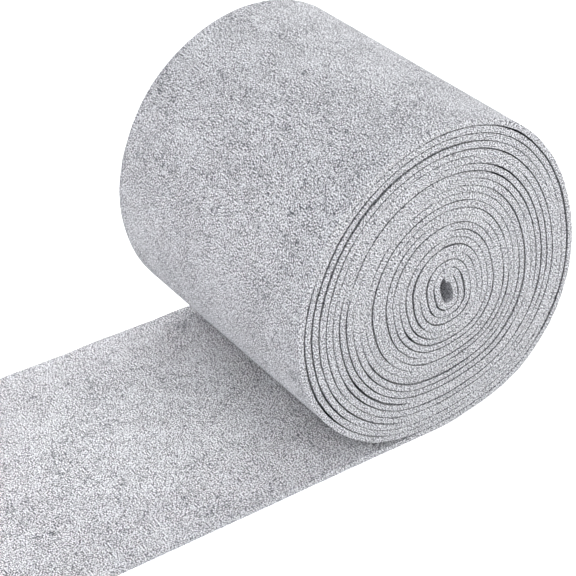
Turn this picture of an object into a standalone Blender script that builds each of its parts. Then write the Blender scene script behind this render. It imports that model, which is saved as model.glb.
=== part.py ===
"""A roll of felt: one strip wound up from its inner end, with its outer end lying out flat.

The strip is drawn as it is seen from its near edge: the winding lies in the X-Z plane and the
strip's width runs along Y. The roll rests on its own loose end, which runs out towards -X.
The turns near the eye press so hard on each other that they are one mass here; the outer ones
lie open, with a gap between each and the next. Mass and open turns are one solid.
The origin is under the middle of the whole piece, at the height of the surface it lies on.
"""
import math

import bmesh
import bpy
from mathutils import Vector

MM = 0.001
DEG = math.pi / 180

# The strip as it is cut. Where it is wound it is squeezed by its neighbours.
STRIP_WIDTH = 127.0 * MM
FLAT_THICKNESS = 2.8 * MM
LAYER_GAP = 0.3 * MM

# The winding, measured from the middle of the roll's near end.
TURNS = 21.6
PRESSED_TURNS = 17
START_ANGLE = 110 * DEG
LAYER_PITCH = 2.908 * MM

# The eye is a slit that leans: the inner end is folded round almost nothing.
EYE_CENTRE = Vector((1.55, -1.0)) * MM
EYE_HALF_LENGTH = 3.9 * MM
EYE_HALF_WIDTH = 0.6 * MM
EYE_LEAN = 104 * DEG

# The first few layers lie loose, and each layer sags a little against the last one.
CORE_SLACK = 1.4 * MM
CORE_LAYERS = 3.0
LAYER_DRIFT = Vector((-0.168, 0.148)) * MM

# Sides where the roll is flatter than round, the last two of them under its own weight:
# (direction, half breadth, depth at the outer layer)
PRESSED_SIDES = (
    (150 * DEG, 60 * DEG, 4.3 * MM),
    (100 * DEG, 50 * DEG, 2.8 * MM),
    (30 * DEG, 65 * DEG, 2.8 * MM),
    (-80 * DEG, 35 * DEG, 3.3 * MM),
    (-103 * DEG, 22 * DEG, 1.0 * MM),
)

# The last turn is squeezed thinner by this much where it lies under the roll, which gives
# the roll a flat spot to stand on.
FLAT_SPOT_PRESS = 0.25 * MM

# The loose end: how far it reaches from the roll's middle, and the stretch over which it
# springs back to its full thickness once the roll no longer presses on it.
TAIL_REACH = 186.0 * MM
RELEASE_START = 12.0 * MM
RELEASE_LENGTH = 20.0 * MM
RELEASE_STEPS = 4

# Steps in one turn round the eye, and in one turn further out.
EYE_STEPS = 16
STEPS_PER_TURN = 32

FELT_COLOUR = (0.50, 0.50, 0.53, 1.0)
FELT_ROUGHNESS = 0.95


def bump(angle, direction, half_breadth):
    """1 in the given direction, easing to 0 at half_breadth on either side of it."""
    away = (angle - direction + math.pi) % (2 * math.pi) - math.pi
    if abs(away) >= half_breadth:
        return 0.0
    return math.cos(math.pi / 2 * away / half_breadth) ** 2


def angle_after(turn):
    """The direction that the felt faces after `turn` turns, going clockwise."""
    return START_ANGLE - 2 * math.pi * turn


def wound_point(angle, layers):
    """The point `layers` felt layers out from the eye, where the felt faces `angle`."""
    along = angle - EYE_LEAN
    eye = math.hypot(EYE_HALF_LENGTH * math.cos(along), EYE_HALF_WIDTH * math.sin(along))
    flatness = EYE_HALF_WIDTH ** 2 - EYE_HALF_LENGTH ** 2
    eye_slope = flatness * math.sin(along) * math.cos(along) / eye
    slack = CORE_SLACK * (1 - math.exp(-(layers / CORE_LAYERS) ** 2))
    pressed = sum(depth * bump(angle, direction, half)
                  for direction, half, depth in PRESSED_SIDES)
    out = eye + LAYER_PITCH * layers + slack - pressed * layers / TURNS
    facing = Vector((math.cos(angle), math.sin(angle)))
    sideways = Vector((-math.sin(angle), math.cos(angle)))
    return EYE_CENTRE + LAYER_DRIFT * layers + facing * out + sideways * eye_slope


def layer_boundary(first_turn, steps, inset=0.0):
    """One turn of the boundary under the strip, from `first_turn`, `inset` in from it.

    Its two ends lie one layer apart, so closing it makes the step where the strip begins.
    """
    turns = [first_turn + step / steps for step in range(steps + 1)]
    return [wound_point(angle_after(turn), turn - inset / LAYER_PITCH) for turn in turns]


def wound_station(turn):
    """The strip's middle and its thickness after `turn` turns."""
    angle = angle_after(turn)
    room = (wound_point(angle, turn + 1) - wound_point(angle, turn)).length
    return wound_point(angle, turn + 0.5), room - LAYER_GAP


def pressed_flat(station, floor):
    """The station squeezed from below where it would dip under the floor."""
    middle, thickness = station
    sunk = floor - (middle.y - thickness / 2)
    if sunk <= 0:
        return station
    return middle + Vector((0, sunk / 2)), thickness - sunk


def open_turns():
    """Stations from just inside the pressed mass to the lowest point of the last turn."""
    count = math.floor((TURNS - PRESSED_TURNS) * STEPS_PER_TURN)
    turns = [PRESSED_TURNS + step / STEPS_PER_TURN for step in range(-1, count + 1)]
    stations = [wound_station(turn) for turn in turns]
    while stations[-1][0].y > stations[-2][0].y:
        stations.pop()
    middle, thickness = stations[-1]
    floor = middle.y - thickness / 2 + FLAT_SPOT_PRESS
    return [pressed_flat(station, floor) for station in stations]


def loose_end(last_middle, pressed_thickness):
    """Stations of the flat end, its underside level with the last turn's."""
    floor = last_middle.y - pressed_thickness / 2
    stations = []
    for step in range(RELEASE_STEPS + 1):
        share = step / RELEASE_STEPS
        released = math.sin(math.pi / 2 * share) ** 2
        thickness = pressed_thickness + (FLAT_THICKNESS - pressed_thickness) * released
        x = last_middle.x - RELEASE_START - RELEASE_LENGTH * share
        stations.append((Vector((x, floor + thickness / 2)), thickness))
    stations.append((Vector((-TAIL_REACH, floor + FLAT_THICKNESS / 2)), FLAT_THICKNESS))
    return stations


def felt_material():
    material = bpy.data.materials.new("grey_felt")
    material.use_nodes = True
    shader = material.node_tree.nodes["Principled BSDF"]
    shader.inputs["Base Color"].default_value = FELT_COLOUR
    shader.inputs["Roughness"].default_value = FELT_ROUGHNESS
    shader.inputs["Metallic"].default_value = 0.0
    return material


def strip_surface(stations):
    """The strip's middle surface: the stations joined by edges and drawn out along Y."""
    mesh = bmesh.new()
    thickness_layer = mesh.verts.layers.deform.verify()
    line = []
    for middle, thickness in stations:
        corner = mesh.verts.new((middle.x, -STRIP_WIDTH / 2, middle.y))
        corner[thickness_layer][0] = thickness / FLAT_THICKNESS
        line.append(corner)
    edges = [mesh.edges.new(pair) for pair in zip(line, line[1:])]
    drawn = bmesh.ops.extrude_edge_only(mesh, edges=edges)["geom"]
    corners = [item for item in drawn if isinstance(item, bmesh.types.BMVert)]
    bmesh.ops.translate(mesh, verts=corners, vec=(0, STRIP_WIDTH, 0))
    data = bpy.data.meshes.new("felt_strip")
    mesh.to_mesh(data)
    mesh.free()
    return data


def pressed_mass(shift, collection):
    """The pressed turns as one mass, open at the eye: a flat outline drawn out along Y."""
    outline = bpy.data.curves.new("pressed_turns_outline", "CURVE")
    outline.dimensions = "2D"
    outline.fill_mode = "BOTH"
    outline.extrude = STRIP_WIDTH / 2
    outer = layer_boundary(PRESSED_TURNS, STEPS_PER_TURN, LAYER_GAP / 2)
    for points in (outer, layer_boundary(0, EYE_STEPS)):
        spline = outline.splines.new("POLY")
        spline.points.add(len(points) - 1)
        for corner, place in zip(spline.points, points):
            corner.co = (*(place - shift), 0, 1)
        spline.use_cyclic_u = True
    drawn = bpy.data.objects.new("pressed_turns_outline", outline)
    drawn.rotation_euler = (math.pi / 2, 0, 0)
    collection.objects.link(drawn)
    bpy.context.view_layer.update()

    depsgraph = bpy.context.evaluated_depsgraph_get()
    data = bpy.data.meshes.new_from_object(drawn.evaluated_get(depsgraph))
    mesh = bmesh.new()
    mesh.from_mesh(data)
    bmesh.ops.remove_doubles(mesh, verts=mesh.verts, dist=0.01 * MM)
    mesh.to_mesh(data)
    mesh.free()
    mass = bpy.data.objects.new("pressed_turns", data)
    mass.matrix_world = drawn.matrix_world
    bpy.data.objects.remove(drawn)
    collection.objects.link(mass)
    mass.hide_render = True
    mass.display_type = "WIRE"
    return mass


def main():
    for old in list(bpy.data.objects):
        bpy.data.objects.remove(old, do_unlink=True)
    collection = bpy.data.collections.new("felt_roll")
    helpers = bpy.data.collections.new("felt_roll_helpers")
    bpy.context.scene.collection.children.link(collection)
    bpy.context.scene.collection.children.link(helpers)

    stations = open_turns()
    stations += loose_end(*stations[-1])
    left = min(middle.x for middle, _ in stations)
    right = max(middle.x + thickness / 2 for middle, thickness in stations)
    floor = stations[-1][0].y - FLAT_THICKNESS / 2
    shift = Vector(((left + right) / 2, floor))
    stations = [(middle - shift, thickness) for middle, thickness in stations]

    strip = bpy.data.objects.new("felt_strip", strip_surface(stations))
    collection.objects.link(strip)
    strip.data.materials.append(felt_material())
    strip.vertex_groups.new(name="thickness")
    solidify = strip.modifiers.new("thickness", "SOLIDIFY")
    solidify.thickness = FLAT_THICKNESS
    solidify.offset = 0.0
    solidify.use_even_offset = True
    solidify.vertex_group = "thickness"
    join = strip.modifiers.new("pressed_turns", "BOOLEAN")
    join.operation = "UNION"
    join.object = pressed_mass(shift, helpers)
    strip.data.shade_smooth()
    strip.data.set_sharp_from_angle(angle=30 * DEG)


main()
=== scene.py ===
"""A roll of heathered grey felt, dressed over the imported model, on a pale floor in soft light."""
import math

import bpy
import numpy as np
from mathutils import Euler, Matrix, Vector


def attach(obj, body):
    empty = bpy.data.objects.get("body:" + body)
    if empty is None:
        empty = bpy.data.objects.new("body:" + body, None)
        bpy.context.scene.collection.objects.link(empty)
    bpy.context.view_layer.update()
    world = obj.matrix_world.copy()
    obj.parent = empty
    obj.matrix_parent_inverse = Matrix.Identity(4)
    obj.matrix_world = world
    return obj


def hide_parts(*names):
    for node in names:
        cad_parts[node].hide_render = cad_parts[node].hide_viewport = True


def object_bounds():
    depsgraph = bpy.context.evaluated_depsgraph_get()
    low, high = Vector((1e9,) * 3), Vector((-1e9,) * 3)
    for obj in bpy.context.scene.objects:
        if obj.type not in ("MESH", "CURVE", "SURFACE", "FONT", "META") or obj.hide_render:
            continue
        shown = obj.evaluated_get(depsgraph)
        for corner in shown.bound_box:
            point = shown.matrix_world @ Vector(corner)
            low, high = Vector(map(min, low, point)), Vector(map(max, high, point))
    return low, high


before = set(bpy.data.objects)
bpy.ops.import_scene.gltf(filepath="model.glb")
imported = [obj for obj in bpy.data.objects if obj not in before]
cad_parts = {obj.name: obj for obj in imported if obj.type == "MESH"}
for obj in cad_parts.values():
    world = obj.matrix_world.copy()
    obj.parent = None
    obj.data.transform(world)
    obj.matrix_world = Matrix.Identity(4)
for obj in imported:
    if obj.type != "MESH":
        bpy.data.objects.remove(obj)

cad_low, cad_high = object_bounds()


# The wound strip: one long strip of pressed felt, about 3 mm thick, wound up by hand round a slit
# of an eye and left lying on its own outer end. Nothing holds it but its own stiffness, so some
# layers stand a little off the next and leave the dark lines that show on the end of the roll.
MM = 0.001
DEG = math.pi / 180

# Sizes are in mm and degrees. A winding is measured from the middle of the roll's near end.
STRIP_WIDTH = 127.0
FLAT_THICKNESS = 2.8
TURNS = 21.6
START_ANGLE = 110.0
LAYER_PITCH = 2.908

# The eye leans, and is a little wider than the fold of the first whole layer round it
EYE_CENTRE = (1.55, -1.0)
EYE_HALF_LENGTH = 3.9
EYE_HALF_WIDTH = 0.6
EYE_SPREAD = 0.6
EYE_SPREAD_LAYERS = 0.8
EYE_LEAN = 104.0

# The first few layers lie loose, and each layer sags a little against the last one
CORE_SLACK = 1.4
CORE_LAYERS = 3.0
LAYER_DRIFT = (-0.168, 0.148)

# Sides where the roll is flatter than round: (direction, half breadth, depth at the outer layer)
PRESSED_SIDES = (
    (150, 60, 4.3),
    (100, 50, 2.8),
    (30, 65, 2.8),
    (-80, 35, 3.3),
    (-103, 22, 1.0),
)

# The last turn is squeezed thinner by this much where it lies under the roll
FLAT_SPOT_PRESS = 0.25

# How far the loose end reaches from the roll's middle, and where it springs back to full thickness
TAIL_REACH = 186.0
TAIL_STEPS = 60
RELEASE_START = 12.0
RELEASE_LENGTH = 20.0

# The gap at the mouth of most layer lines, how uneven it is, and the least that is left of it
SNUG_GAP = 0.29
SNUG_UNEVENNESS = 0.45
LEAST_GAP = 0.03

# How far a side that has no neighbour lies in from its layer's boundary
FREE_SIDE_INSET = 0.15

# Lines that stand open, counted from the eye: the stretches of that turn over which each one is
# open, from and to, in degrees clockwise from the direction of the strip's start, and the width
OPEN_GAPS = (
    (0, (80, 140, 0.62), (140, 200, 0.50), (220, 300, 0.62)),
    (1, (80, 200, 0.66), (240, 340, 0.59)),
    (2, (240, 300, 0.49), (320, 340, 0.34)),
    (3, (20, 40, 0.46), (240, 340, 0.49)),
    (4, (20, 40, 0.36), (95, 140, 0.60), (260, 280, 0.42)),
    (5, (140, 200, 0.46), (200, 280, 0.56)),
    (6, (150, 200, 0.42), (200, 240, 0.33), (240, 280, 0.46), (300, 320, 0.33)),
    (7, (20, 40, 0.33), (140, 200, 0.54), (200, 260, 0.40)),
    (8, (100, 200, 0.54), (200, 240, 0.44)),
    (9, (110, 200, 0.62), (200, 290, 0.34)),
    (10, (20, 40, 0.33), (120, 170, 0.46), (220, 280, 0.26)),
    (11, (80, 140, 0.40), (220, 300, 0.38)),
    (12, (240, 280, 0.38)),
    (13, (240, 300, 0.69), (300, 360, 0.38)),
    (14, (0, 20, 0.39), (40, 100, 0.56), (100, 160, 0.72), (220, 300, 0.72), (300, 320, 0.36)),
    (15, (40, 140, 0.49), (220, 300, 0.42)),
    (16, (220, 330, 0.34)),
    (17, (60, 80, 0.36), (140, 160, 0.34), (220, 360, 0.59)),
    (18, (0, 40, 0.46), (240, 360, 0.59)),
    (19, (20, 100, 0.36), (120, 160, 0.46), (220, 240, 0.46), (240, 310, 0.69)),
    (20, (0, 40, 0.39), (40, 150, 0.62)),
)
OPEN_UNEVENNESS = 0.2
GAP_FADE_TURNS = 0.08

# (from turn, to turn, steps in one turn). A step that rounding brings this close to the end of
# its stretch is left out, because the next stretch begins with it.
WINDING_STEPS = (
    (0, 6, 72),
    (6, 14, 100),
    (14, TURNS, 132),
)
SAME_STEP = 1e-6


def wander(place, seed, slowest, fastest):
    """Smooth unevenness along `place`, about 1 high, made of waves from slowest to fastest."""
    waves = 11
    draw = np.random.default_rng(seed)
    rates = np.geomspace(slowest, fastest, waves)
    phases = draw.uniform(0, 2 * math.pi, waves)
    heights = draw.uniform(0.4, 1.0, waves) * rates ** -0.35
    sines = np.sin(2 * math.pi * np.multiply.outer(place, rates) + phases)
    return (sines * heights).sum(-1) / np.sqrt((heights ** 2).sum() / 2)


def bump(angle, direction, half_breadth):
    """1 in the given direction, easing to 0 at half_breadth on either side of it."""
    away = (angle - direction + 180) % 360 - 180
    eased = np.cos(np.pi / 2 * away / half_breadth) ** 2
    return np.where(np.abs(away) < half_breadth, eased, 0.0)


def wound_point(angle, layers):
    """The points `layers` felt layers out from the eye, where the felt faces `angle`."""
    along_slit = (angle - EYE_LEAN) * DEG
    half_width = EYE_HALF_WIDTH + EYE_SPREAD * np.exp(-(layers / EYE_SPREAD_LAYERS) ** 2)
    eye = np.hypot(EYE_HALF_LENGTH * np.cos(along_slit), half_width * np.sin(along_slit))
    flatness = half_width ** 2 - EYE_HALF_LENGTH ** 2
    eye_slope = flatness * np.sin(along_slit) * np.cos(along_slit) / eye
    slack = CORE_SLACK * (1 - np.exp(-(layers / CORE_LAYERS) ** 2))
    pressed = sum(depth * bump(angle, side, half) for side, half, depth in PRESSED_SIDES)
    out = eye + LAYER_PITCH * layers + slack - pressed * layers / TURNS
    facing = np.stack([np.cos(angle * DEG), np.sin(angle * DEG)], -1)
    sideways = np.stack([-np.sin(angle * DEG), np.cos(angle * DEG)], -1)
    drift = np.multiply.outer(layers, LAYER_DRIFT)
    return np.add(EYE_CENTRE, drift) + facing * out[..., None] + sideways * eye_slope[..., None]


def gap_at(layers):
    """How far apart the felt stands at a boundary, counted in layers out from the eye."""
    gap = SNUG_GAP * (1 + SNUG_UNEVENNESS * wander(layers, seed=3, slowest=0.4, fastest=9.0))
    unevenness = 1 + OPEN_UNEVENNESS * wander(layers, seed=5, slowest=1.0, fastest=12.0)
    for line, *stretches in OPEN_GAPS:
        for start, end, width in stretches:
            first = line + 1 + start / 360
            last = line + 1 + end / 360
            rise = np.clip((layers - first) / GAP_FADE_TURNS + 0.5, 0, 1)
            fall = np.clip((last - layers) / GAP_FADE_TURNS + 0.5, 0, 1)
            eased = (rise * fall) ** 2 * (3 - 2 * rise * fall)
            gap = np.maximum(gap, eased * width * unevenness)
    held = (layers > 1) & (layers < TURNS)
    return np.where(held, np.maximum(gap, LEAST_GAP), 2 * FREE_SIDE_INSET)


def winding():
    """The strip's outer and inner side along the winding, down to the roll's lowest point."""
    steps = [np.arange(first, last - SAME_STEP, 1 / count) for first, last, count in WINDING_STEPS]
    turn = np.concatenate(steps)
    angle = START_ANGLE - 360 * turn
    inner = wound_point(angle, turn)
    outer = wound_point(angle, turn + 1)
    through = (outer - inner) / np.linalg.norm(outer - inner, axis=1)[:, None]
    inner = inner + through * gap_at(turn)[:, None] / 2
    outer = outer - through * gap_at(turn + 1)[:, None] / 2
    last_half_turn = turn > TURNS - 0.5
    lowest = np.argmin(np.where(last_half_turn, outer[:, 1], np.inf))
    floor = outer[lowest, 1] + FLAT_SPOT_PRESS
    under = last_half_turn & (outer[:, 1] < floor)
    outer[under, 1] = floor
    return turn[:lowest + 1], outer[:lowest + 1], inner[:lowest + 1], floor


def loose_end(last_outer, last_inner, floor):
    """The strip's two sides along the flat end, which springs back to its full thickness."""
    reach = np.linspace(0, 1, TAIL_STEPS)[1:]
    x = last_outer[0] + (-TAIL_REACH - last_outer[0]) * reach
    pressed = last_inner[1] - floor
    released = np.clip((last_outer[0] - RELEASE_START - x) / RELEASE_LENGTH, 0, 1)
    thickness = pressed + (FLAT_THICKNESS - pressed) * np.sin(np.pi / 2 * released) ** 2
    outer = np.stack([x, np.full_like(x, floor)], -1)
    inner = np.stack([x, floor + thickness], -1)
    return outer, inner


turn, outer, inner, floor_level = winding()
tail_outer, tail_inner = loose_end(outer[-1], inner[-1], floor_level)
outer = np.concatenate([outer, tail_outer])
inner = np.concatenate([inner, tail_inner])
middle = (outer + inner) / 2
along = np.concatenate([[0], np.cumsum(np.linalg.norm(np.diff(middle, axis=0), axis=1))])
last_wound = along[len(turn) - 1]

# The strip's section goes round it: the face turned outwards, the far cut edge, the face turned
# to the eye, and the near cut edge. The cut edges bulge a hair, with their corners rounded.
CORNER_RADIUS = 0.09
CORNER_STEPS = 2
EDGE_BULGE = 0.06

# The blade has opened the edges, so they are this much thicker than the felt behind them, on
# each side that another layer covers, and it thins within this reach
EDGE_SWELL = 0.28
EDGE_SWELL_REACH = 0.4

# Columns of points across each face, from this far in from the edges
COLUMN_COUNT = 12
COLUMN_MARGIN = 1.3


def section_outline():
    """Rows of (across, share of the way from outer to inner side, depth into the felt)."""
    half = STRIP_WIDTH / 2
    between = np.linspace(COLUMN_MARGIN - half, half - COLUMN_MARGIN, COLUMN_COUNT)
    corner_line = half - CORNER_RADIUS
    swell_line = corner_line - EDGE_SWELL_REACH
    columns = [-corner_line, -swell_line, *between, swell_line, corner_line]
    corner = np.linspace(0, math.pi / 2, CORNER_STEPS + 1)[1:]
    sides = [half - CORNER_RADIUS * (1 - math.sin(a)) for a in corner]
    depths = [CORNER_RADIUS * (1 - math.cos(a)) for a in corner]
    face_out = [(y, 0.0, 0.0) for y in columns]
    far = [(y, 0.0, d) for y, d in zip(sides, depths)]
    far += [(half + EDGE_BULGE, 0.5, 0.0)]
    far += [(y, 1.0, -d) for y, d in zip(sides[::-1], depths[::-1])]
    face_in = [(y, 1.0, 0.0) for y in columns[::-1]]
    near = [(-y, 1.0 - share, -depth) for y, share, depth in far]
    return np.array(face_out + far + face_in + near), len(columns), len(far)


outline, columns, edge_points = section_outline()

# How far the turns have slipped along the roll's axis, in waves counted in outer turns of this
# length, the share of it that is left in the loose end, and the stretch over which it eases off
TELESCOPE = 0.22
OUTER_TURN = 380.0
LOOSE_TELESCOPE = 0.4
LOOSENING = 40.0

# How uneven the cut edges are, and the shallow waves on the face turned to the eye, which is the
# top of the loose end: their height in the roll and in the loose end, and their lengths
EDGE_WOBBLE = 0.05
FAR_EDGE_SEED = 100
NEAR_EDGE_SEED = 200
FACE_RELIEF = 0.05
TAIL_RELIEF = 0.12
RELIEF_WAVES = 14
RELIEF_LENGTHS = (14, 60)

# Layers begin and stop covering each other within this part of a turn, and stop this far before
# the end of the winding
COVER_FADE = 0.1
COVER_STOP = 0.15


def face_relief(along_mm, across_mm):
    """Shallow waves over the felt's faces, about 1 high."""
    draw = np.random.default_rng(11)
    height = np.zeros(np.broadcast(along_mm, across_mm).shape)
    for _ in range(RELIEF_WAVES):
        heading, length = draw.uniform(0, math.pi), draw.uniform(*RELIEF_LENGTHS)
        wave = along_mm * math.cos(heading) + across_mm * math.sin(heading)
        height += np.sin(2 * math.pi * wave / length + draw.uniform(0, 2 * math.pi))
    return height / math.sqrt(RELIEF_WAVES / 2)


def edge_wobble(along_mm):
    """How far each point of the cut edges stands out across the strip, along all of it."""
    wobble = np.zeros((len(along_mm), len(outline)))
    for point in np.flatnonzero(np.abs(outline[:, 0]) > STRIP_WIDTH / 2 - COLUMN_MARGIN):
        seed = FAR_EDGE_SEED if outline[point, 0] > 0 else NEAR_EDGE_SEED
        wobble[:, point] = wander(along_mm, seed, slowest=0.004, fastest=0.09)
        finer = wander(along_mm, seed + point, slowest=0.05, fastest=0.30)
        wobble[:, point] += 0.5 * finer
    return EDGE_WOBBLE * wobble


def covered(layers):
    """1 where a boundary lies between two layers, easing to 0 at both ends of the winding."""
    begun = np.clip((layers - 1) / COVER_FADE, 0, 1)
    going_on = np.clip((TURNS - COVER_STOP - layers) / COVER_FADE, 0, 1)
    return begun * going_on


def strip_points(outer, inner, along, shrink, outer_covered, inner_covered):
    """Every section's points, each section drawn in by its own `shrink`, as at the cut ends."""
    across, share, depth = outline.T
    through = (inner - outer) / np.linalg.norm(inner - outer, axis=1)[:, None]
    outer = outer + through * shrink[:, None]
    inner = inner - through * shrink[:, None]
    flat = outer[:, None] * (1 - share)[:, None] + inner[:, None] * share[:, None]
    flat = flat + through[:, None] * depth[:, None]

    # Behind its edges, the felt is thinner on each side that another layer covers
    edge_line = STRIP_WIDTH / 2 - CORNER_RADIUS
    behind_edge = np.clip((edge_line - np.abs(across)) / EDGE_SWELL_REACH, 0, 1)
    thinner = outer_covered[:, None] * (share == 0) - inner_covered[:, None] * (share == 1)
    flat = flat + through[:, None] * (EDGE_SWELL * thinner * behind_edge)[..., None]

    loose = np.clip((along - last_wound) / LOOSENING, 0, 1)
    height = FACE_RELIEF + (TAIL_RELIEF - FACE_RELIEF) * loose
    relief = face_relief(along[:, None], across[None]) * height[:, None]
    flat = flat + through[:, None] * ((share == 1) * relief)[..., None]

    limit = np.maximum(STRIP_WIDTH / 2 + EDGE_BULGE - shrink, 0)[:, None]
    sideways = np.clip(across[None], -limit, limit)
    slip = TELESCOPE * wander(along / OUTER_TURN, seed=21, slowest=0.12, fastest=2.2)
    slip = slip * (1 - (1 - LOOSE_TELESCOPE) * loose)
    sideways = sideways + slip[:, None] + edge_wobble(along)
    return np.stack([flat[..., 0], sideways, flat[..., 1]], -1)


# The cut ends are rounded over like the edges, by sections that draw in towards the end
END_SECTIONS = 4
round_steps = np.linspace(0, 1, END_SECTIONS) * math.pi / 2
end_shrink = CORNER_RADIUS * (1 - np.cos(round_steps))
end_drop = CORNER_RADIUS * (1 - np.sin(round_steps))


def with_round_ends(values):
    """The sections' values with the extra sections of both cut ends added."""
    first_step, last_step = values[1] - values[0], values[-1] - values[-2]
    first_share = end_drop / (along[1] - along[0])
    last_share = end_drop / (along[-1] - along[-2])
    shape = (-1,) + (1,) * (values.ndim - 1)
    start = values[0] + first_step * first_share.reshape(shape)
    end = values[-1] - last_step * last_share.reshape(shape)
    return np.concatenate([start[::-1], values[1:-1], end])


shrink = np.concatenate([end_shrink[::-1], np.zeros(len(along) - 2), end_shrink])
outer_round, inner_round = with_round_ends(outer), with_round_ends(inner)
along_round = with_round_ends(along)
no_layer = np.zeros(len(along) - len(turn))
outer_covered = with_round_ends(np.concatenate([covered(turn + 1), no_layer]))
inner_covered = with_round_ends(np.concatenate([covered(turn), no_layer]))
points = strip_points(outer_round, inner_round, along_round, shrink, outer_covered, inner_covered)
shift_x = cad_low.x + TAIL_REACH * MM
shift_z = cad_low.z - floor_level * MM
points = points * MM + np.array([shift_x, 0, shift_z])
points[..., 2] = np.maximum(points[..., 2], cad_low.z)
sections, around = points.shape[:2]


def strip_faces():
    """Quads from section to section, and a cap on each cut end with its two rounded sides."""
    index = np.arange(sections * around).reshape(sections, around)
    turned = np.roll(index, -1, axis=1)
    quads = np.stack([index[:-1], turned[:-1], turned[1:], index[1:]], -1).reshape(-1, 4)
    faces = quads.tolist()
    for end, first_end in ((index[0], True), (index[-1], False)):
        top = end[:columns]
        bottom = end[columns + edge_points:2 * columns + edge_points][::-1]
        far = end[columns - 1:columns + edge_points + 1]
        near = np.append(end[2 * columns + edge_points - 1:], end[0])
        caps = [list(quad) for quad in zip(top[:-1], top[1:], bottom[1:], bottom[:-1])]
        caps += [list(far), list(near)]
        faces += caps if first_end else [cap[::-1] for cap in caps]
    return faces


strip_mesh = bpy.data.meshes.new("felt_strip_cloth")
strip_mesh.from_pydata(points.reshape(-1, 3).tolist(), [], strip_faces())
strip_mesh.shade_smooth()
strip_mesh.update()

# Each point keeps its place in the flat strip, in mm: along it, across it, and into its depth
thickness = np.linalg.norm(outer_round - inner_round, axis=1)
flat_place = np.empty((sections, around, 3))
flat_place[..., 0] = along_round[:, None]
flat_place[..., 1] = outline[:, 0][None]
flat_place[..., 2] = thickness[:, None] * outline[:, 1][None] + outline[:, 2][None]
place = strip_mesh.attributes.new("place_in_strip", "FLOAT_VECTOR", "POINT")
place.data.foreach_set("vector", flat_place.reshape(-1))
# The cut edges and ends: the edge grain goes here, with a lighter ground that is painted light
cut = strip_mesh.attributes.new("cut_edge", "FLOAT", "POINT")
on_edge = np.clip((np.abs(outline[:, 0]) - STRIP_WIDTH / 2 + CORNER_RADIUS) / CORNER_RADIUS, 0, 1)
on_end = np.clip(shrink / CORNER_RADIUS, 0, 1)
cut.data.foreach_set("value", np.maximum(on_edge[None], on_end[:, None]).reshape(-1))

felt_roll = bpy.data.objects.new("wound_felt_strip", strip_mesh)
bpy.context.scene.collection.objects.link(felt_roll)


# The felt itself: light and dark grey fibres, blended before they were matted, so every spot is a
# different mix. Specks and short streaks lie all over it, thicker in cloudy patches, with a few
# longer fibres among them. The cut edges show the same fibres end on, as a fine even grain, on a
# lighter ground that is painted light, brightening the roll's end face.
SWAY = 0.6
SWAY_SIZE = 5.0
SMALL_CLOUD_SIZE = 4.5
SMALL_CLOUD_SHARE = 0.65
LARGE_CLOUD_SIZE = 26.0
LARGE_CLOUD_SHARE = 0.35
CLOUD_RANGE = (0.28, 0.72)
SPECK_SIZE = 0.41
SPECK_DRAWN_OUT = 1.5
SPECK_RANGE = (0.4, 0.6)

# The fibres that show one by one, short ones in crowds and a few long ones:
# (turned by, in degrees, drawn out by, spacing in mm, breadth, length of a stretch in mm, tone)
SHORT_FIBRES = (
    (8, 6.0, 0.88, 0.075, 1.2, -1.0),
    (-11, 5.5, 0.84, 0.075, 1.1, -1.0),
    (-2, 6.5, 0.92, 0.075, 1.3, -1.0),
    (3, 5.5, 0.88, 0.075, 1.1, 0.8),
)
LONG_FIBRES = (
    (20, 3.6, 1.50, 0.045, 2.6, -1.0),
    (-25, 3.0, 1.50, 0.045, 2.6, -1.0),
    (5, 3.3, 1.50, 0.045, 2.6, 0.8),
)

# Dark fibres crowd in the dark clouds and light ones in the light clouds. A fibre comes up where
# the noise that breaks it into stretches rises through this range. Each kind of fibre takes its
# own part of the noise, moved by this much for each degree that it is turned by.
CROWDING = 0.145
STRETCH_RANGE = (0.46, 0.56)
STRETCH_SQUEEZE = (0.6, 1.0, 1.0)
APART_X = 2.3
APART_Y = 1.7


def new_group(name, inputs, outputs):
    group = bpy.data.node_groups.new(name, "ShaderNodeTree")
    for socket_name, kind in inputs:
        group.interface.new_socket(socket_name, in_out="INPUT", socket_type=kind)
    for socket_name, kind in outputs:
        group.interface.new_socket(socket_name, in_out="OUTPUT", socket_type=kind)
    return group


def add(tree, kind, settings=None, **sockets):
    """A node with its settings, each named input linked to a socket or given a value.

    Inputs that share a name with another are given by number, as i0, i1 and so on.
    """
    node = tree.nodes.new(kind)
    for name, value in (settings or {}).items():
        setattr(node, name, value)
    for name, value in sockets.items():
        by_number = name[0] == "i" and name[1:].isdigit()
        socket = node.inputs[int(name[1:]) if by_number else name.replace("_", " ")]
        if isinstance(value, bpy.types.NodeSocket):
            tree.links.new(value, socket)
        else:
            socket.default_value = value
    return node


def maths(tree, operation, *values):
    sockets = {f"i{number}": value for number, value in enumerate(values)}
    return add(tree, "ShaderNodeMath", {"operation": operation}, **sockets).outputs[0]


def vector_maths(tree, operation, *values):
    sockets = {f"i{number}": value for number, value in enumerate(values)}
    return add(tree, "ShaderNodeVectorMath", {"operation": operation}, **sockets).outputs[0]


def noise(tree, place, size, detail=0.0, roughness=0.5):
    """Even noise over the flat strip, `size` mm from blot to blot: its value and its colour."""
    node = add(tree, "ShaderNodeTexNoise", {"noise_dimensions": "2D"}, Vector=place,
               Scale=1 / size, Detail=detail, Roughness=roughness)
    return node.outputs["Fac"], node.outputs["Color"]


def spread(tree, value, low, high, to_low=-1.0, to_high=1.0):
    """The value's range from low to high, spread over the range from to_low to to_high."""
    node = add(tree, "ShaderNodeMapRange", {"clamp": True}, Value=value, From_Min=low,
               From_Max=high, To_Min=to_low, To_Max=to_high)
    return node.outputs["Result"]


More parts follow.
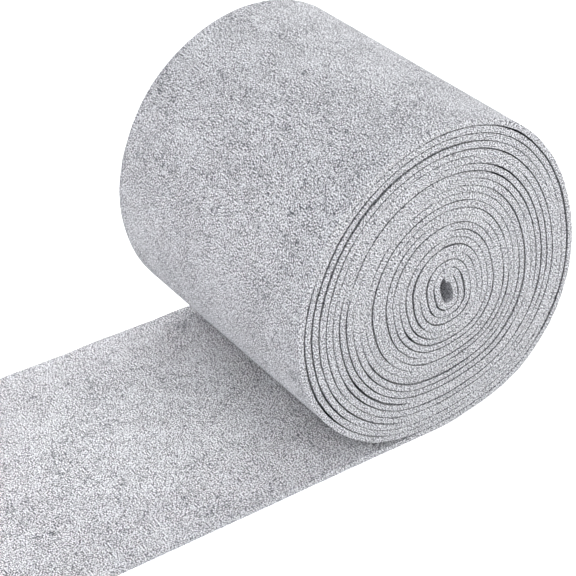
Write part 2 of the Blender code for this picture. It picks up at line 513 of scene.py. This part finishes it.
def drawn_fibres(group, place, clouds, kinds):
    """Thin fibres of the given kinds, each broken into stretches, thicker where it is cloudy."""
    total = 0.0
    for turned, drawn_out, spacing, breadth, length, tone in kinds:
        apart = (APART_X * turned, APART_Y * turned, 0)
        lay = add(group, "ShaderNodeMapping", {"vector_type": "POINT"}, Vector=place,
                  Location=apart, Rotation=(0, 0, turned * DEG)).outputs[0]
        stretched = vector_maths(group, "MULTIPLY", lay, (1 / drawn_out, 1.0, 1.0))
        field, _ = noise(group, stretched, spacing, detail=1.0)
        off_line = maths(group, "ABSOLUTE", maths(group, "SUBTRACT", field, 0.5))
        line = spread(group, off_line, 0.0, breadth, tone, 0.0)
        squeezed = vector_maths(group, "MULTIPLY", lay, STRETCH_SQUEEZE)
        patch, _ = noise(group, squeezed, length, detail=1.0)
        crowded = maths(group, "MULTIPLY_ADD", clouds, math.copysign(CROWDING, tone), patch)
        shown = spread(group, crowded, *STRETCH_RANGE, 0, 1)
        total = maths(group, "MULTIPLY_ADD", line, shown, total)
    return total


def felt_fibres():
    """Specks, streaks, long fibres and clouds on an even ground: the share of light fibre."""
    group = new_group("felt_fibres", (
        ("Place", "NodeSocketVector"),
        ("Ground", "NodeSocketFloat"),
        ("Specks", "NodeSocketFloat"),
        ("Short Fibres", "NodeSocketFloat"),
        ("Long Fibres", "NodeSocketFloat"),
        ("Clouds", "NodeSocketFloat"),
    ), (("Mix", "NodeSocketFloat"), ("Relief", "NodeSocketFloat")))
    given = group.nodes.new("NodeGroupInput").outputs
    result = group.nodes.new("NodeGroupOutput").inputs

    _, sway = noise(group, given["Place"], SWAY_SIZE)
    sway = vector_maths(group, "SUBTRACT", sway, (0.5, 0.5, 0.5))
    bent = vector_maths(group, "MULTIPLY_ADD", sway, (SWAY, SWAY, 0.0), given["Place"])

    small, _ = noise(group, bent, SMALL_CLOUD_SIZE, detail=3.0, roughness=0.6)
    small = spread(group, small, *CLOUD_RANGE, -SMALL_CLOUD_SHARE, SMALL_CLOUD_SHARE)
    large, _ = noise(group, given["Place"], LARGE_CLOUD_SIZE, detail=2.0)
    large = spread(group, large, *CLOUD_RANGE, -LARGE_CLOUD_SHARE, LARGE_CLOUD_SHARE)
    clouds = maths(group, "ADD", small, large)

    drawn_out = vector_maths(group, "MULTIPLY", bent, (1 / SPECK_DRAWN_OUT, 1.0, 1.0))
    speck, _ = noise(group, drawn_out, SPECK_SIZE)
    speck = spread(group, speck, *SPECK_RANGE)
    short_ones = drawn_fibres(group, bent, clouds, SHORT_FIBRES)
    long_ones = drawn_fibres(group, bent, clouds, LONG_FIBRES)

    mix = maths(group, "MULTIPLY", speck, given["Specks"])
    mix = maths(group, "MULTIPLY_ADD", short_ones, given["Short Fibres"], mix)
    relief = maths(group, "MULTIPLY_ADD", mix, 0.5, long_ones)
    mix = maths(group, "MULTIPLY_ADD", long_ones, given["Long Fibres"], mix)
    mix = maths(group, "MULTIPLY_ADD", clouds, given["Clouds"], mix)
    mix = maths(group, "MULTIPLY_ADD", mix, 0.5, given["Ground"])
    group.links.new(mix, result["Mix"])
    group.links.new(relief, result["Relief"])
    return group


# How strongly each kind shows on the strip's faces and on its cut edges, and how fine the grain
# of the edges is beside that of the faces, along the strip and through its depth
FACE_LOOK = {
    "Ground": 0.74,
    "Specks": 1.70,
    "Short Fibres": 1.45,
    "Long Fibres": 0.70,
    "Clouds": 0.16,
}
EDGE_GRAIN_AND_PAINTED_LIGHT = {
    # The edges' lighter ground is painted light: it brightens the roll's end face, as if it caught
    # more light
    "Ground": 0.93,
    "Specks": 2.60,
    "Short Fibres": 1.20,
    "Long Fibres": 0.20,
    "Clouds": 0.14,
}
EDGE_FINENESS = (0.95, 1.15, 1.0)
FIBRE_HEIGHT = 0.06

# The tones from the darkest fibre to the lightest: (share of light fibre, colour)
FELT_TONES = (
    (0.00, (0.048, 0.049, 0.058)),
    (0.25, (0.280, 0.282, 0.306)),
    (0.50, (0.585, 0.590, 0.618)),
    (0.75, (0.815, 0.820, 0.842)),
    (1.00, (0.965, 0.967, 0.975)),
)


def fibres_seen(tree, fibres, place, look):
    """The fibres as they look at the given place in the strip."""
    node = tree.nodes.new("ShaderNodeGroup")
    node.node_tree = fibres
    tree.links.new(place, node.inputs["Place"])
    for name, value in look.items():
        node.inputs[name].default_value = value
    return node.outputs


def blend(tree, share, first, second):
    """The first value, going over into the second as the share goes from 0 to 1."""
    node = add(tree, "ShaderNodeMix", {"data_type": "FLOAT"}, i0=share, i2=first, i3=second)
    return node.outputs[0]


def felt_material(fibres):
    material = bpy.data.materials.new("heathered_grey_felt")
    material.use_nodes = True
    tree = material.node_tree
    shader = tree.nodes["Principled BSDF"]
    place = add(tree, "ShaderNodeAttribute", {"attribute_name": "place_in_strip"}).outputs["Vector"]
    cut = add(tree, "ShaderNodeAttribute", {"attribute_name": "cut_edge"}).outputs["Fac"]

    # On a cut edge the grain runs along the strip, or across it at its ends, and into its depth
    parts = add(tree, "ShaderNodeSeparateXYZ", i0=place).outputs
    beside = maths(tree, "ADD", parts["X"], parts["Y"])
    edge_place = add(tree, "ShaderNodeCombineXYZ", i0=beside, i1=parts["Z"]).outputs[0]
    edge_place = vector_maths(tree, "MULTIPLY", edge_place, EDGE_FINENESS)

    face = fibres_seen(tree, fibres, place, FACE_LOOK)
    edge = fibres_seen(tree, fibres, edge_place, EDGE_GRAIN_AND_PAINTED_LIGHT)
    # Over the cut edges come their grain and their lighter ground, which is painted light on the
    # end face
    mixed = blend(tree, cut, face["Mix"], edge["Mix"])
    relief = blend(tree, cut, face["Relief"], edge["Relief"])

    ramp = add(tree, "ShaderNodeValToRGB", Fac=mixed)
    stops = ramp.color_ramp.elements
    while len(stops) < len(FELT_TONES):
        stops.new(0.5)
    for stop, (position, colour) in zip(stops, FELT_TONES):
        stop.position = position
        stop.color = (*colour, 1.0)
    tree.links.new(ramp.outputs["Color"], shader.inputs["Base Color"])
    raised = add(tree, "ShaderNodeBump", Height=relief, Strength=0.5, Distance=FIBRE_HEIGHT * MM)
    tree.links.new(raised.outputs["Normal"], shader.inputs["Normal"])
    shader.inputs["Roughness"].default_value = 0.95
    shader.inputs["Specular IOR Level"].default_value = 0.15
    shader.inputs["Sheen Weight"].default_value = 0.15
    shader.inputs["Sheen Roughness"].default_value = 0.6
    return material


strip_mesh.materials.append(felt_material(felt_fibres()))
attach(felt_roll, "root")
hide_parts("felt_strip")


# The floor: one wide sheet of smooth white card under the roll, lit so brightly that the camera
# sees no shade on it. It is not part of the object.
FLOOR_HALF_SIZE = 4.0
FLOOR_COLOUR = (0.93, 0.93, 0.93, 1)
FLOOR_GLOW = 0.80
floor_mesh = bpy.data.meshes.new("floor")
corners = [(-1, -1), (1, -1), (1, 1), (-1, 1)]
floor_mesh.from_pydata(
    [(x * FLOOR_HALF_SIZE, y * FLOOR_HALF_SIZE, cad_low.z) for x, y in corners],
    [], [(0, 1, 2, 3)])
floor = bpy.data.objects.new("floor", floor_mesh)
bpy.context.scene.collection.objects.link(floor)
floor_material = bpy.data.materials.new("white_card")
floor_material.use_nodes = True
card = floor_material.node_tree.nodes["Principled BSDF"]
card.inputs["Base Color"].default_value = FLOOR_COLOUR
card.inputs["Roughness"].default_value = 0.9
card.inputs["Specular IOR Level"].default_value = 0.1
card.inputs["Emission Color"].default_value = (1.0, 1.0, 1.0, 1)
seen = add(floor_material.node_tree, "ShaderNodeLightPath").outputs["Is Camera Ray"]
glow = maths(floor_material.node_tree, "MULTIPLY", seen, FLOOR_GLOW)
floor_material.node_tree.links.new(glow, card.inputs["Emission Strength"])
floor_mesh.materials.append(floor_material)


# The light: a pale studio all round, four large soft boxes standing about the roll, and a smaller
# one with a grid in front of it, turned to the shade that the roll throws on its loose end.
STUDIO_COLOUR = (0.85, 0.88, 1.0, 1)
STUDIO_STRENGTH = 0.445
world = bpy.data.worlds.new("white_studio")
world.use_nodes = True
background = world.node_tree.nodes["Background"]
background.inputs["Color"].default_value = STUDIO_COLOUR
background.inputs["Strength"].default_value = STUDIO_STRENGTH
bpy.context.scene.world = world

ROLL_MIDDLE = Vector((0.03, 0.0, 0.05))
LOOSE_END_SHADE = Vector((-0.035, 0.0, 0.0))
SOFT_BOX_DISTANCE = 1.2
SOFT_BOX_COLOUR = (1.0, 0.99, 0.97)

# (name, what it is turned to, direction from +X towards +Y, height angle, size in m, spread, watts)
SOFT_BOXES = (
    ("soft_box_back_right", ROLL_MIDDLE, 45, 25, 0.9, 180, 7.2),
    ("soft_box_back", ROLL_MIDDLE, 90, 55, 0.9, 180, 4.5),
    ("soft_box_left", ROLL_MIDDLE, 180, 30, 0.9, 180, 4.1),
    ("soft_box_front_right", ROLL_MIDDLE, 290, 20, 0.9, 180, 7.3),
    ("soft_box_with_grid", LOOSE_END_SHADE, 180, 58, 0.12, 12, 0.027),
)
for name, target, direction, height, size, spread_angle, power in SOFT_BOXES:
    light = bpy.data.lights.new(name, "AREA")
    light.shape = "SQUARE"
    light.size = size
    light.spread = spread_angle * DEG
    light.energy = power
    light.color = SOFT_BOX_COLOUR
    lamp = bpy.data.objects.new(name, light)
    level = Vector((math.cos(direction * DEG), math.sin(direction * DEG), 0))
    away = level * math.cos(height * DEG) + Vector((0, 0, math.sin(height * DEG)))
    lamp.location = target + away * SOFT_BOX_DISTANCE
    lamp.rotation_euler = away.to_track_quat("Z", "Y").to_euler()
    bpy.context.scene.collection.objects.link(lamp)


# The camera: above the floor at the photograph's angle, looking along the roll from its end. Its
# place is in mm, its heading is from +Y towards +X, and it looks down and leans by these angles.
CAMERA_PLACE = (-282.9, -474.1, 419.4)
CAMERA_HEADING = 33.74
CAMERA_DOWN = 33.48
CAMERA_ROLL = -1.15
CAMERA_LENS = 107.76
lens = bpy.data.cameras.new("camera")
lens.lens = CAMERA_LENS
lens.sensor_width = 36.0
lens.clip_end = 20.0
camera = bpy.data.objects.new("camera", lens)
heading = Euler((0, 0, -CAMERA_HEADING * DEG)).to_matrix()
tilt = Euler(((90 - CAMERA_DOWN) * DEG, 0, 0)).to_matrix()
roll = Euler((0, 0, CAMERA_ROLL * DEG)).to_matrix()
turned_camera = (heading @ tilt @ roll).to_4x4()
camera.matrix_world = Matrix.Translation(Vector(CAMERA_PLACE) * MM) @ turned_camera
bpy.context.scene.collection.objects.link(camera)
bpy.context.scene.camera = camera
bpy.context.scene.view_settings.view_transform = "Standard"
